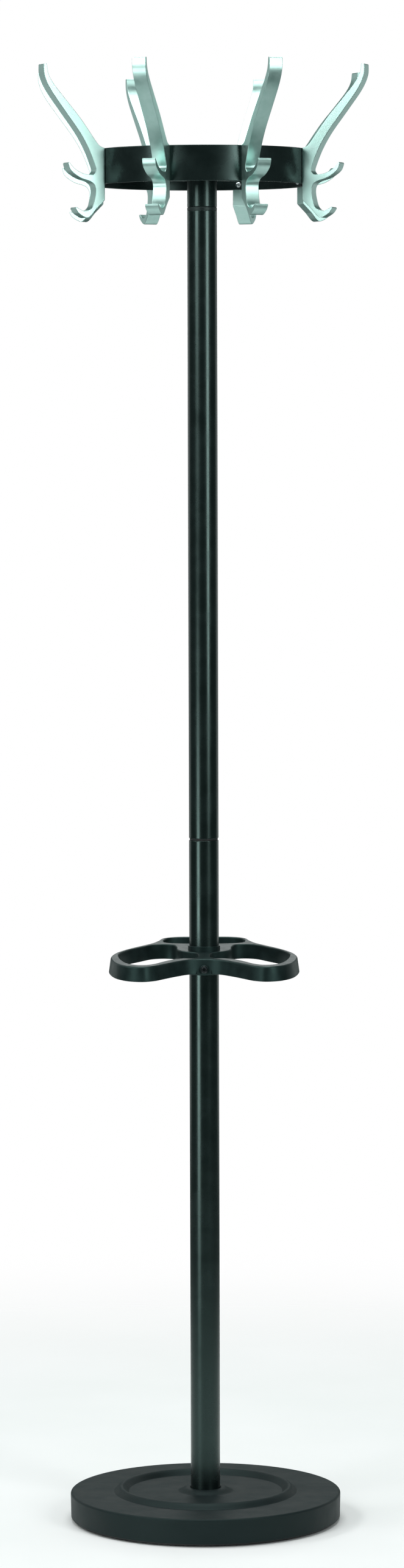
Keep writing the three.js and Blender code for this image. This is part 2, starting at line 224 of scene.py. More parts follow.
foot_names = sorted(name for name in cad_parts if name.startswith("foot_"))
for number, name in enumerate(foot_names, 1):
    low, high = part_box(name)
    pad_r, thick = (high.x - low.x) / 2, high.z - low.z
    pad = [[0, 0, 0], [pad_r - 2.5 * MM, 0, 0], [pad_r - 2 * MM, 0.25 * MM, 0], [pad_r - 1.4 * MM, 0, 0],
           [pad_r, 0, 0.5 * MM], [pad_r, thick, 0.2 * MM], [0, thick, 0]]
    mesh = mesh_of(*turned(rounded(pad), 64))
    mesh.transform(Matrix.Translation(((low.x + high.x) / 2, (low.y + high.y) / 2, low.z)))
    piece(f"rubber_pad_{number}", mesh, rubber, "pole", "rubber", name)

# ---------------------------------------------------------------- ballast and pole fixing
# What holds the pole up inside the foot: a ring of raw cast iron, and a zinc plated bolt that
# draws the steel plug in the end of the pole down on it over a thick washer.


def sand_cast_iron():
    """Raw cast iron: dark grey, with the 1.5 mm pimples of the sand mould and rusty blushes."""
    made, tree, shader, place = surface("sand cast iron", Metallic=0.75)
    blotched(tree, shader, place, 18 * MM, ("#33302D", "#46464A"), (0.68, 0.86))
    grained(tree, shader, place, (6 * MM, 0.25 * MM), (1.5 * MM, 0.22 * MM))
    return made


def zinc_plated_steel():
    """Zinc plate on turned or cold headed steel: bright, bluish, with soft 3 mm clouds in its gloss."""
    made, tree, shader, place = surface("bright zinc plated steel", Metallic=1.0)
    blotched(tree, shader, place, 3 * MM, ("#A9B4B6", "#C6CDCD"), (0.24, 0.4))
    grained(tree, shader, place, (0.7 * MM, 0.006 * MM))
    return made


iron = sand_cast_iron()
zinc = zinc_plated_steel()

low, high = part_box("ballast_disc")
bolt_hole, bolt_pit = 5.6 * MM, 17 * MM
pit_floor = low.z + 4.5 * MM
casting = [[bolt_pit, low.z, 0.8 * MM], [high.x - 1 * MM, low.z, 1.5 * MM], [high.x, high.z, 2 * MM],
           [bolt_hole, high.z, 0.5 * MM], [bolt_hole, pit_floor, 0.4 * MM], [bolt_pit, pit_floor, 1 * MM]]
piece("cast_ballast", mesh_of(*turned(rounded(casting))), iron, "pole", "cast_iron", "ballast_disc")

low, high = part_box("base_washer")
washer = [[bolt_hole, low.z, 0.2 * MM], [high.x, low.z, 0.4 * MM], [high.x, high.z, 0.4 * MM],
          [bolt_hole, high.z, 0.2 * MM]]
piece("thick_washer", mesh_of(*turned(rounded(washer), 96)), zinc, "pole", "zinc_steel", "base_washer")

low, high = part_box("base_bolt")
head_flat, shank_r = 7.9 * MM, 5.1 * MM
head_top = low.z + 5.8 * MM
thread_pitch, thread_depth = 1.5 * MM, 0.45 * MM
z = np.arange(head_top + 12 * MM, high.z - 1.2 * MM, thread_pitch / 6)
thread = shank_r - thread_depth * (0.5 - 0.5 * np.cos(z * 2 * np.pi / thread_pitch))
bolt = np.vstack([
    [[0, low.z, 0], [head_flat - 0.6 * MM, low.z, 0.2 * MM], [head_flat, low.z + 0.5 * MM, 0.2 * MM],
     [head_flat, head_top, 0.2 * MM], [shank_r, head_top, 0.3 * MM]],
    np.stack([thread, z, np.zeros(len(z))], -1),
    [[shank_r - 1 * MM, high.z, 0.2 * MM], [0, high.z, 0]],
])
bolt = rounded(bolt, 3)
piece("hexagon_bolt", mesh_of(*turned(bolt, 96, bolt[:, 1] <= head_top)), zinc, "pole", "zinc_steel",
      "base_bolt")

low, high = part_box("pole_plug")
flange_top, body_r = low.z + 3 * MM, 17.2 * MM
plug = [[5.4 * MM, low.z, 0.3 * MM], [high.x, low.z, 0.5 * MM], [high.x, flange_top, 0.5 * MM],
        [body_r, flange_top, 0.3 * MM], [body_r, high.z, 1 * MM], [5.4 * MM, high.z, 0.5 * MM]]
piece("turned_plug", mesh_of(*turned(rounded(plug), 128)), zinc, "pole", "zinc_steel", "pole_plug")

# ---------------------------------------------------------------- base cover
# The charcoal cover of the foot: one ABS moulding with a low bead round its top that keeps drips
# in, a raised collar round the pole, and a fine spark-eroded grain all over.


def charcoal_abs():
    """Moulded ABS with a spark-eroded skin: matt and near black. The grain is about 0.3 mm in the real
    mould and is drawn at 0.9 mm, so that it shows, over a 3.2 mm waviness and 35 mm cloudiness."""
    made, tree, shader, place = surface("spark grained charcoal ABS", IOR=1.5, Specular_IOR_Level=0.35)
    shader.inputs["Specular Tint"].default_value = linear("#B4DAD4")
    blotched(tree, shader, place, 35 * MM, ("#101618", "#151C1E"), (0.5, 0.6))
    grained(tree, shader, place, (3.2 * MM, 0.03 * MM), (0.9 * MM, 0.05 * MM))
    return made


low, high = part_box("base_cover")
tube_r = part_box("lower_tube")[1].x
collar_rise = 5 * MM
deck = high.z - collar_rise
wall = 2.6 * MM
collar_in, collar_out = tube_r + 0.6 * MM, 36.5 * MM
bead_r, bead_half, bead_rise = 109 * MM, 9.5 * MM, 7 * MM
edge_r = 2.6 * MM
r = np.concatenate([
    np.linspace(high.x - edge_r - 2 * MM, bead_r + bead_half, 12)[:-1],
    np.linspace(bead_r + bead_half, bead_r - bead_half, 41)[:-1],
    np.linspace(bead_r - bead_half, collar_out, 14)[:-1],
    np.linspace(collar_out, collar_in + 1 * MM, 22),
])
on_bead = np.clip(np.abs(r - bead_r) / bead_half, 0, 1)
on_collar = np.clip((r - collar_in - 3 * MM) / (collar_out - collar_in - 3 * MM), 0, 1)
skin = deck + bead_rise * np.cos(on_bead * np.pi / 2) ** 1.15
skin += collar_rise * (0.5 + 0.5 * np.cos(on_collar * np.pi)) ** 0.8
cover = np.vstack([
    [[high.x - wall, low.z, 0.4 * MM], [high.x - 0.6 * MM, low.z, 0.9 * MM]],
    [[high.x, deck, edge_r]],
    np.stack([r, skin, np.zeros(len(r))], -1),
    [[collar_in, high.z - 0.2 * MM, 0.7 * MM], [collar_in, deck - wall, 0.4 * MM],
     [high.x - wall, deck - wall, 2 * MM]],
])
piece("moulded_base_cover", mesh_of(*turned(rounded(cover), 288)), charcoal_abs(), "pole",
      "charcoal_plastic", "base_cover")

# ---------------------------------------------------------------- pole
# Two lengths of 38 mm steel tube, powder coated satin black, pushed over a steel spigot with a
# black plastic ring that shows as a narrow groove between them.


def black_powder_coat():
    """Baked powder coat: near black and satin, with the orange peel of about 2 mm that breaks up
    its highlights, and a finer 0.6 mm grain."""
    made, tree, shader, place = surface("satin black powder coat", IOR=1.5, Specular_IOR_Level=0.85)
    shader.inputs["Specular Tint"].default_value = linear("#BFE6DF")
    blotched(tree, shader, place, 26 * MM, ("#070A0B", "#0C1112"), (0.22, 0.3))
    grained(tree, shader, place, (2 * MM, 0.016 * MM), (0.6 * MM, 0.005 * MM))
    return made


coat = black_powder_coat()
tube_wall = 1.5 * MM


def tube(name, node_name, body):
    """A straight tube as long and wide as its frame node, its four edges rolled over."""
    low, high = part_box(node_name)
    bore = high.x - tube_wall
    outline = [[bore, low.z, 0.5 * MM], [high.x, low.z, 0.7 * MM], [high.x, high.z, 0.7 * MM],
               [bore, high.z, 0.5 * MM]]
    piece(name, mesh_of(*turned(rounded(outline))), coat, body, "black_coat", node_name)


tube("lower_pole_tube", "lower_tube", "pole")
tube("upper_pole_tube", "upper_tube", "pole")

low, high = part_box("joint_ring")
ring_bore = 13.6 * MM
groove_ring = [[ring_bore, low.z, 0.3 * MM], [high.x, low.z, 0.8 * MM], [high.x, high.z, 0.8 * MM],
               [ring_bore, high.z, 0.3 * MM]]
piece("groove_ring", mesh_of(*turned(rounded(groove_ring))), polypropylene, "pole", "black_plastic",
      "joint_ring")

low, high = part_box("joint_spigot")
ring_low, ring_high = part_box("joint_ring")
waist = ring_bore - 0.3 * MM
spigot = [[9 * MM, low.z, 0.5 * MM], [high.x, low.z, 1.5 * MM], [high.x, ring_low.z - 0.35 * MM, 0.2 * MM],
          [waist, ring_low.z - 0.35 * MM, 0.2 * MM], [waist, ring_high.z + 0.35 * MM, 0.2 * MM],
          [high.x, ring_high.z + 0.35 * MM, 0.2 * MM], [high.x, high.z, 1.5 * MM],
          [9 * MM, high.z, 0.5 * MM]]
piece("turned_spigot", mesh_of(*turned(rounded(spigot), 128)), zinc, "pole", "zinc_steel", "joint_spigot")

# ---------------------------------------------------------------- umbrella holder
# A tray of glass filled nylon with three openings for umbrellas, hollow underneath with a 3 mm
# skin. Its hub slides on the pole and is clamped by a screw from the front in a brass insert.


def glass_filled_nylon():
    """Moulded glass filled nylon: satin black, with faint 12 mm flow clouds, a skin that waves over
    5 mm, and a grain of about 1 mm from the fibres just under it."""
    made, tree, shader, place = surface("moulded glass filled nylon", IOR=1.53)
    shader.inputs["Specular Tint"].default_value = linear("#A6DAD2")
    blotched(tree, shader, place, 12 * MM, ("#0E1516", "#141D1E"), (0.4, 0.5))
    grained(tree, shader, place, (5 * MM, 0.02 * MM), (1 * MM, 0.02 * MM))
    return made


def turned_brass():
    """Turned brass: warm yellow metal with tool rings too fine to show and slight 2 mm tarnish."""
    made, tree, shader, place = surface("turned brass", Metallic=1.0)
    blotched(tree, shader, place, 2 * MM, ("#B08A45", "#C6A360"), (0.28, 0.42))
    grained(tree, shader, place, (0.4 * MM, 0.008 * MM))
    return made


def black_oxide_steel():
    """Blackened steel: almost black metal with a soft oily sheen and 2 mm rub marks."""
    made, tree, shader, place = surface("black oxide steel", Metallic=0.9)
    blotched(tree, shader, place, 2 * MM, ("#1B1F20", "#2E3436"), (0.34, 0.5))
    grained(tree, shader, place, (0.5 * MM, 0.008 * MM))
    return made


def closed_curve(points, steps=7):
    """The closed centripetal Catmull-Rom curve through the points: Hermite spans whose slopes weigh
    the neighbouring chords by the square roots of their lengths."""
    p1 = np.asarray(points, float) * MM
    p0, p2, p3 = np.roll(p1, 1, 0), np.roll(p1, -1, 0), np.roll(p1, -2, 0)
    d0, d1, d2 = (np.sqrt(np.linalg.norm(b - a, axis=1))[:, None] for a, b in ((p0, p1), (p1, p2), (p2, p3)))
    slope_1 = ((p1 - p0) / d0 - (p2 - p0) / (d0 + d1) + (p2 - p1) / d1) * d1
    slope_2 = ((p2 - p1) / d1 - (p3 - p1) / (d1 + d2) + (p3 - p2) / d2) * d1
    return hermite(p1, p2, slope_1, slope_2, steps).reshape(-1, 2)


def hermite(start, end, slope_start, slope_end, steps):
    """Points at t = 0, 1/steps, ... of the cubic spans with those ends and slopes, one row a span."""
    t = (np.arange(steps) / steps)[None, :, None]
    start, end, slope_start, slope_end = (a[:, None] for a in (start, end, slope_start, slope_end))
    return (start * (1 + 2 * t) * (1 - t) ** 2 + end * (3 - 2 * t) * t ** 2
            + slope_start * t * (1 - t) ** 2 + slope_end * (t - 1) * t ** 2)


def grown(outline, distance):
    """A closed outline moved outwards by distance along its own normals, mitred at its corners."""
    ahead = np.roll(outline, -1, 0) - outline
    ahead /= np.linalg.norm(ahead, axis=1, keepdims=True)
    out = np.stack([ahead[:, 1], -ahead[:, 0]], -1)
    x, y, ahead_x, ahead_y = *outline.T, *np.roll(outline, -1, 0).T
    out *= np.sign((x * ahead_y - ahead_x * y).sum())
    before = np.roll(out, 1, 0)
    miter = (out + before) / (1 + (out * before).sum(1, keepdims=True))
    return outline + distance * miter


def lofted(rows):
    """Closed outlines one over the other, joined by quads and closed at both ends by flat faces. Seen
    from where the rows lead, each outline runs anticlockwise."""
    rows = np.asarray(rows, float)
    levels, count = rows.shape[:2]
    level, i = np.meshgrid(np.arange(levels - 1), np.arange(count), indexing="ij")
    beside = (i + 1) % count
    low, high = level * count, (level + 1) * count
    faces = np.stack([low + i, low + beside, high + beside, high + i], -1).reshape(-1, 4).tolist()
    ring = np.arange(count)
    faces += [ring[::-1].tolist(), (ring + (levels - 1) * count).tolist()]
    return rows.reshape(-1, 3), faces


def upright(outline, levels):
    """Rows for lofted(): the outline grown by each (z, growth) of levels and laid at that height."""
    x_y = np.stack([grown(outline, growth) for z, growth in levels])
    heights = np.broadcast_to(np.array([z for z, growth in levels])[:, None, None], (*x_y.shape[:2], 1))
    return np.concatenate([x_y, heights], -1)


def anticlockwise(outline):
    """The outline, turned round if it runs clockwise."""
    x, y, ahead_x, ahead_y = *outline.T, *np.roll(outline, -1, 0).T
    return outline if (x * ahead_y - ahead_x * y).sum() > 0 else outline[::-1]


def mirrored(points):
    """The points of the other half, x turned to -x, in the order that closes the outline."""
    return [[-x, y] for x, y in reversed(points)]


def boolean(start, *steps):
    """The mesh start with each (operation, mesh) of steps joined to it or cut from it, exactly."""
    work = bpy.data.objects.new("work", start)
    scratch = [work]
    bpy.context.scene.collection.objects.link(work)
    for operation, mesh in steps:
        tool = bpy.data.objects.new("tool", mesh)
        bpy.context.scene.collection.objects.link(tool)
        scratch.append(tool)
        step = work.modifiers.new("step", "BOOLEAN")
        step.operation, step.solver, step.object = operation, "EXACT", tool
    graph = bpy.context.evaluated_depsgraph_get()
    made = bpy.data.meshes.new_from_object(work.evaluated_get(graph))
    for item in scratch:
        bpy.data.objects.remove(item)
    return made


low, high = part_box("umbrella_holder")
holder_top, holder_bottom = 742 * MM, 723 * MM
hub_low, hub_high = low.z, high.z
pitch = math.tan(math.radians(3))
skin_thick, back_wall = 3 * MM, 9 * MM
rim_r, lip_r = 2.4 * MM, 1.6 * MM
outer_half = [
    [35.5, 111], [53, 101], [60, 79], [68, 58], [83.5, 34], [100.5, 7], [113, -20], [119, -50], [118, -78],
    [109, -113], [93.5, -132], [77, -136.5], [63, -129], [51, -114], [37.5, -97], [20, -80],
]
side_opening = [
    [109, -29], [99, -1], [83, 22], [67.5, 42], [53, 47], [40.5, 43], [36, 29], [34.5, 4], [29, -8],
    [17.5, -17.5], [9.5, -24.5], [7.2, -42], [8.8, -59], [15, -66], [25, -67], [35, -72], [45, -82],
    [54.5, -96], [64, -111], [74, -119], [85, -118.5], [95.5, -109], [103.5, -87], [108.5, -58],
]
back_half = [[35.5, 105], [48, 97], [53, 79], [49.5, 62], [36, 56]]
outer = anticlockwise(closed_curve([[0, 112], *outer_half, [0, -74.5], *mirrored(outer_half)]))
openings = [
    (anticlockwise(closed_curve(side_opening)), skin_thick),
    (anticlockwise(closed_curve(mirrored(side_opening))), skin_thick),
    (anticlockwise(closed_curve([[0, 106], *back_half, [0, 52], *mirrored(back_half)])), back_wall),
]

a = np.linspace(0, np.pi / 2, 6)
draft, hem = 2.2 * MM, 0.8 * MM
levels = [(holder_bottom, draft - hem), (holder_bottom + 0.25 * MM, draft - 0.25 * MM),
          (holder_bottom + hem, draft)]
levels += [(holder_top - rim_r + rim_r * s, rim_r * (c - 1)) for s, c in zip(np.sin(a), np.cos(a))]
tray = mesh_of(*lofted(upright(outer, levels)))
flare = [(holder_bottom - 2 * MM, 0.0)]
flare += [(holder_top - lip_r + lip_r * s, lip_r * (1 - c)) for s, c in zip(np.sin(a), np.cos(a))]
flare += [(holder_top + 1 * MM, lip_r)]
steps = [("DIFFERENCE", mesh_of(*lofted(upright(outline, flare)))) for outline, _ in openings]

pocket = mesh_of(*lofted(upright(
    grown(outer, -skin_thick), [(holder_bottom - 1 * MM, 0.6 * MM), (holder_top - skin_thick, 0.0)]
)))
walls = [
    ("DIFFERENCE", mesh_of(*lofted(upright(
        grown(outline, thick), [(holder_bottom - 2 * MM, 0.0), (holder_top, 0.0)]
    )))) for outline, thick in openings
]
hub_r, bore_r = 23.5 * MM, tube_r + 0.08 * MM
core_r, below = hub_r - 0.8 * MM, holder_bottom - 3 * MM
core = [[0, below, 0], [core_r, below, 0], [core_r, holder_top, 0], [0, holder_top, 0]]
walls.append(("DIFFERENCE", mesh_of(*turned(rounded(core), 96))))
web_half, web_front, web_back = 9 * MM, -82 * MM, -18 * MM
web = np.array([[-web_half, web_front], [web_half, web_front], [web_half, web_back], [-web_half, web_back]])
walls.append(("DIFFERENCE", mesh_of(*lofted(upright(web, [(below, 0), (holder_top, 0)])))))
steps.append(("DIFFERENCE", boolean(pocket, *walls)))
body = boolean(tray, *steps)
body.transform(Matrix(((1, 0, 0, 0), (0, 1, 0, 0), (0, pitch, 1, 0), (0, 0, 0, 1))))

lip_out = tube_r + 1.6 * MM
hub = [[0, hub_low, 0], [tube_r + 2 * MM, hub_low, 0.5 * MM], [hub_r, holder_bottom - 4 * MM, 1.5 * MM],
       [hub_r, holder_top - 1.5 * MM, 0.3 * MM], [lip_out, holder_top - 1.5 * MM, 0],
       [lip_out, hub_high, 0.5 * MM], [0, hub_high, 0]]
clamp_low, clamp_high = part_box("clamp_screw")
clamp_z = (clamp_low.z + clamp_high.z) / 2
facing_front = Matrix.Rotation(math.radians(90), 4, "X")
steps = [("UNION", mesh_of(*turned(rounded(hub), 128)))]
nose_y, nose_low = -74.6 * MM, holder_bottom - 75 * MM * pitch
rib_half, rib_apart = 0.9 * MM, 8.2 * MM
rib = np.array([[0.8, 0.4], [-5.3, 0.4], [-5.5, 0], [0, -11.5], [0.8, -11.5]]) * MM
for side in (-1, 1):
    fin = np.stack([np.zeros(len(rib)), rib[:, 0], -rib[:, 1]], -1)
    rows = np.stack([fin + [x, 0, 0] for x in (-rib_half, rib_half)])
    steps.append(("UNION", mesh_of(*lofted(rows + [side * rib_apart, nose_y, nose_low]))))
boss_r, boss_half = 5.4 * MM, 3 * MM
boss = mesh_of(*turned(rounded([[0, -boss_half, 0], [boss_r, -boss_half, 0.2 * MM],
                                [boss_r, boss_half, 0.8 * MM], [0, boss_half, 0]]), 64))
boss.transform(Matrix.Translation((0, nose_y - 1 * MM, clamp_z)) @ facing_front)
steps.append(("UNION", boss))


def drill(radius, front, back):
    """A rod along the clamp screw's line, from y = front to y = back, to cut a hole with."""
    rod = [[0, -back, 0], [radius, -back, 0], [radius, -front, 0], [0, -front, 0]]
    mesh = mesh_of(*turned(rounded(rod), 48))
    mesh.transform(Matrix.Translation((0, 0, clamp_z)) @ facing_front)
    return mesh


screw_hole, insert_hole = 2.8 * MM, 4.4 * MM
steps.append(("DIFFERENCE", drill(screw_hole, -85 * MM, -15 * MM)))
steps.append(("DIFFERENCE", drill(insert_hole, -36 * MM, -12 * MM)))
bore = [[0, hub_low - 1 * MM, 0], [bore_r, hub_low - 1 * MM, 0], [bore_r, hub_high + 1 * MM, 0],
        [0, hub_high + 1 * MM, 0]]
steps.append(("DIFFERENCE", mesh_of(*turned(rounded(bore), 128))))
piece("moulded_umbrella_holder", boolean(body, *steps), glass_filled_nylon(), "holder", "black_plastic",
      "umbrella_holder")

low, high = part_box("clamp_insert")
knurl_pitch, knurl_depth, insert_half = 1 * MM, 0.25 * MM, 6 * MM
z = np.arange(-5.4 * MM, 5.5 * MM, knurl_pitch / 4)
knurl = high.x - knurl_depth * (0.5 - 0.5 * np.cos(z * 2 * np.pi / knurl_pitch))
insert = np.vstack([
    [[screw_hole, -insert_half, 0.2 * MM], [high.x - 0.4 * MM, -insert_half, 0.2 * MM]],
    np.stack([knurl, z, np.zeros(len(z))], -1),
    [[high.x - 0.4 * MM, insert_half, 0.2 * MM], [screw_hole, insert_half, 0.2 * MM]],
])
mesh = mesh_of(*turned(rounded(insert, 3), 48))
mesh.transform(Matrix.Translation((0, (low.y + high.y) / 2, clamp_z)) @ facing_front)
piece("knurled_insert", mesh, turned_brass(), "holder", "brass", "clamp_insert")

screw_r, socket_r, cap_r = 2.5 * MM, 1.75 * MM, 4.6 * MM
seat = -clamp_low.y - 3.2 * MM
screw = [[0, seat + 1 * MM, 0], [socket_r, seat + 1 * MM, 0.1 * MM], [socket_r, seat + 2.95 * MM, 0.15 * MM],
         [cap_r - 1.8 * MM, seat + 2.8 * MM, 0], [cap_r - 0.8 * MM, seat + 2.1 * MM, 0],
         [cap_r - 0.2 * MM, seat + 1.1 * MM, 0], [cap_r, seat, 0.3 * MM], [screw_r, seat, 0.1 * MM],
         [screw_r, -clamp_high.y, 0.6 * MM], [0, -clamp_high.y, 0]]
screw = rounded(screw, 3)
in_socket = (screw[:, 0] < socket_r + 0.01 * MM) & (screw[:, 1] > seat)
mesh = mesh_of(*turned(screw, 96, in_socket))
mesh.transform(Matrix.Translation((0, 0, clamp_z)) @ facing_front)
piece("socket_clamp_screw", mesh, black_oxide_steel(), "holder", "black_coat", "clamp_screw")

# ---------------------------------------------------------------- swivel
# The bearing on top of the pole: a turned nylon bush with a flange that shows as a satin collar,
# and a zinc plated spindle, washer and nut that hold the crown's neck down on a thin nylon ring.


def turned_nylon():
    """Turned black nylon: satin, a shade greyer than the paint, with 0.5 mm tool rings in its gloss."""
    made, tree, shader, place = surface("turned black nylon", IOR=1.53)
    shader.inputs["Specular Tint"].default_value = linear("#C4E4DF")
    blotched(tree, shader, place, 8 * MM, ("#1B2021", "#252B2B"), (0.38, 0.48))
    stretched = node(tree, "ShaderNodeMapping", {"Vector": place, "Scale": (0.05, 0.05, 1.0)})
    grained(tree, shader, stretched.outputs[0], (0.5 * MM, 0.01 * MM))
    return made


nylon = turned_nylon()
low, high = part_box("bearing_bush")
pole_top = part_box("upper_tube")[1].z
bush_bore, bush_r = 8.3 * MM, tube_r - tube_wall - 0.2 * MM
bush = [[bush_bore, low.z, 0.5 * MM], [bush_r, low.z, 1 * MM], [bush_r, pole_top + 0.02 * MM, 0.2 * MM],
        [high.x, pole_top + 0.02 * MM, 0.6 * MM], [high.x, high.z, 0.6 * MM], [bush_bore, high.z, 0.5 * MM]]
piece("flanged_bush", mesh_of(*turned(rounded(bush))), nylon, "pole", "nylon", "bearing_bush")

low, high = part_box("thrust_washer")
thrust_bore = bush_bore + 0.2 * MM
thrust = [[thrust_bore, low.z, 0.15 * MM], [high.x, low.z, 0.2 * MM], [high.x, high.z, 0.2 * MM],
          [thrust_bore, high.z, 0.15 * MM]]
piece("thrust_ring", mesh_of(*turned(rounded(thrust, 3))), nylon, "head", "nylon", "thrust_washer")

low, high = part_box("swivel_spindle")
stub_r, shoulder = 6 * MM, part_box("bearing_bush")[0].z - 0.3 * MM
z = np.arange(low.z + 1.2 * MM, shoulder - 2.5 * MM, thread_pitch / 6)
thread = stub_r - thread_depth * (0.5 - 0.5 * np.cos(z * 2 * np.pi / thread_pitch))
spindle = np.vstack([
    [[0, low.z, 0], [stub_r - 0.9 * MM, low.z, 0.2 * MM]],
    np.stack([thread, z, np.zeros(len(z))], -1),
    [[stub_r, shoulder, 0.2 * MM], [high.x, shoulder, 0.4 * MM], [high.x, high.z, 1 * MM], [0, high.z, 0]],
])
piece("threaded_spindle", mesh_of(*turned(rounded(spindle, 3), 96)), zinc, "head", "zinc_steel",
      "swivel_spindle")

low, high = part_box("spindle_washer")
stub_hole = stub_r + 0.3 * MM
washer = [[stub_hole, low.z, 0.2 * MM], [high.x, low.z, 0.5 * MM], [high.x, high.z, 0.5 * MM],
          [stub_hole, high.z, 0.2 * MM]]
piece("flat_washer", mesh_of(*turned(rounded(washer), 96)), zinc, "head", "zinc_steel", "spindle_washer")

low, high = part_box("spindle_nut")
nut_flat, nut_bore, countersink, bevel = 9.1 * MM, 6.35 * MM, 7 * MM, 0.6 * MM
nut = rounded([[nut_bore, low.z + bevel, 0], [countersink, low.z, 0.1 * MM],
               [nut_flat - 0.5 * MM, low.z, 0.2 * MM], [nut_flat, low.z + bevel, 0.2 * MM],
               [nut_flat, high.z - bevel, 0.2 * MM], [nut_flat - 0.5 * MM, high.z, 0.2 * MM],
               [countersink, high.z, 0.1 * MM], [nut_bore, high.z - bevel, 0]], 3)
piece("locking_nut", mesh_of(*turned(nut, 96, nut[:, 0] > 7.5 * MM)), zinc, "head", "zinc_steel",
      "spindle_nut")

low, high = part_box("neck_hub")
hub_ring = [[bush_bore + 0.1 * MM, low.z, 0.4 * MM], [high.x, low.z, 0.8 * MM], [high.x, high.z, 0.8 * MM],
            [bush_bore + 0.1 * MM, high.z, 0.4 * MM]]
piece("neck_hub_ring", mesh_of(*turned(rounded(hub_ring), 96)), zinc, "head", "zinc_steel", "neck_hub")

# ---------------------------------------------------------------- neck, ring and arms
# The crown's frame: a short neck of the pole's tube with a plastic cap, a rolled 3 mm flat steel
# ring, and four flat bars welded between them on edge, all powder coated together.

tube("neck_pole_tube", "neck_tube", "head")

low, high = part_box("neck_cap")
neck_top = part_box("neck_tube")[1].z
cap_plug = tube_r - tube_wall - 0.2 * MM
cap = [[0, low.z, 0], [cap_plug, low.z, 0.8 * MM], [cap_plug, neck_top + 0.05 * MM, 0.1 * MM],
       [high.x, neck_top + 0.05 * MM, 0.3 * MM], [high.x, neck_top + 1.6 * MM, 1 * MM],
       [high.x - 4 * MM, high.z - 0.5 * MM, 3 * MM], [0, high.z, 0]]
piece("neck_end_cap", mesh_of(*turned(rounded(cap))), polypropylene, "head", "black_plastic", "neck_cap")


def radial(azimuth, height):
    """Turns a shape made along +Z so that it points out from the axis at that azimuth and height."""
    turn = Matrix.Rotation(math.radians(azimuth - 90), 4, "Z")
    return Matrix.Translation((0, 0, height)) @ turn @ Matrix.Rotation(math.radians(90), 4, "Y")


head_turn = 2
hook_count = 8
azimuths = [(i + 0.5) * 360 / hook_count + head_turn for i in range(hook_count)]
low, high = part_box("ring_band")
ring_low, ring_high = low.z, high.z
ring_out, ring_in = 138.4 * MM, 135.4 * MM
band = [[ring_in, ring_low, 0.9 * MM], [ring_out, ring_low, 0.9 * MM], [ring_out, ring_high, 0.9 * MM],
        [ring_in, ring_high, 0.9 * MM]]
screw_heights = [
    sum(corner.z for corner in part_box(f"hook_screw_1_{level}")) / 2 for level in ("lower", "upper")
]
hole_r, past = 2.3 * MM, 6 * MM
hole = rounded([[0, ring_in - past, 0], [hole_r, ring_in - past, 0], [hole_r, ring_out + past, 0],
                [0, ring_out + past, 0]])
holes = []
for azimuth in azimuths:
    for height in screw_heights:
        mesh = mesh_of(*turned(hole, 24))
        mesh.transform(radial(azimuth, height))
        holes.append(("DIFFERENCE", mesh))
piece("rolled_ring", boolean(mesh_of(*turned(rounded(band), 288)), *holes), coat, "head", "black_coat",
      "ring_band")


def across(outline, width, edge, steps=4):
    """Rows for lofted(): an outline in x and z carried across y over width. Over the last edge at each
    side it shrinks along its normals by edge (1 - sin a) while y moves in by edge (1 - cos a)."""
    a = np.linspace(0, np.pi / 2, steps + 1)
    inset = edge * (1 - np.sin(a))
    y = width / 2 - edge * (1 - np.cos(a))
    levels = [*zip(y, inset), *zip(-y[::-1], inset[::-1])]
    rows = [np.insert(grown(outline, -shrink), 1, place, axis=1) for place, shrink in levels]
    return np.stack(rows)


low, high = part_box("crown_arm_1")
arm_low, arm_high = low.z, high.z
arm_in, arm_out = tube_r + 0.3 * MM, ring_in - 0.5 * MM
arm_thick = 4 * MM
bar = rounded([[arm_in, arm_low, 0.3 * MM], [arm_out, arm_low, 0.3 * MM], [arm_out, arm_high, 0.3 * MM],
               [arm_in, arm_high, 0.3 * MM]], 3)
for number in range(4):
    mesh = mesh_of(*lofted(across(bar, arm_thick, 0.7 * MM)))
    mesh.transform(Matrix.Rotation(math.radians(90 * number + head_turn), 4, "Z"))
    piece(f"flat_bar_arm_{number + 1}", mesh, coat, "head", "black_coat", f"crown_arm_{number + 1}")

# Fillet welds down both sides of each arm's two ends: a 1.5 mm bead, rippled every 1.6 mm.
weld_r, ripple = 1.5 * MM, 1.6 * MM
z = np.linspace(arm_low + 1.5 * MM, arm_high - 1.5 * MM, 90)
swell = weld_r * (1 + 0.13 * np.abs(np.sin(z * np.pi / ripple)))
swell *= np.sqrt(np.clip(1 - ((z - z.mean()) / (z[-1] - z.mean() + 0.4 * MM)) ** 8, 0, 1))
bead = np.vstack([[[0, z[0] - 0.6 * MM]], np.stack([swell, z], -1), [[0, z[-1] + 0.6 * MM]]])
points, faces = turned(bead, 16)
spots = [(x, side * arm_thick / 2) for x in (arm_in + 0.1 * MM, arm_out + 0.1 * MM) for side in (-1, 1)]
turns = np.radians(90 * np.arange(4) + head_turn)
centres = np.array([[x * math.cos(t) - y * math.sin(t), x * math.sin(t) + y * math.cos(t), 0]
                    for t in turns for x, y in spots])
beads = (points[None] + centres[:, None]).reshape(-1, 3)
bead_faces = [[corner + k * len(points) for corner in face] for k in range(len(centres)) for face in faces]
piece("arm_weld_beads", mesh_of(beads, bead_faces), coat, "head", "black_coat")

# ---------------------------------------------------------------- hooks
# Eight double hooks sawn 18 mm wide from an aluminium extrusion, tumbled and satin anodised. Each
# has a long upper arm, a short middle hook and a lower hook, and two screws hold it from inside.


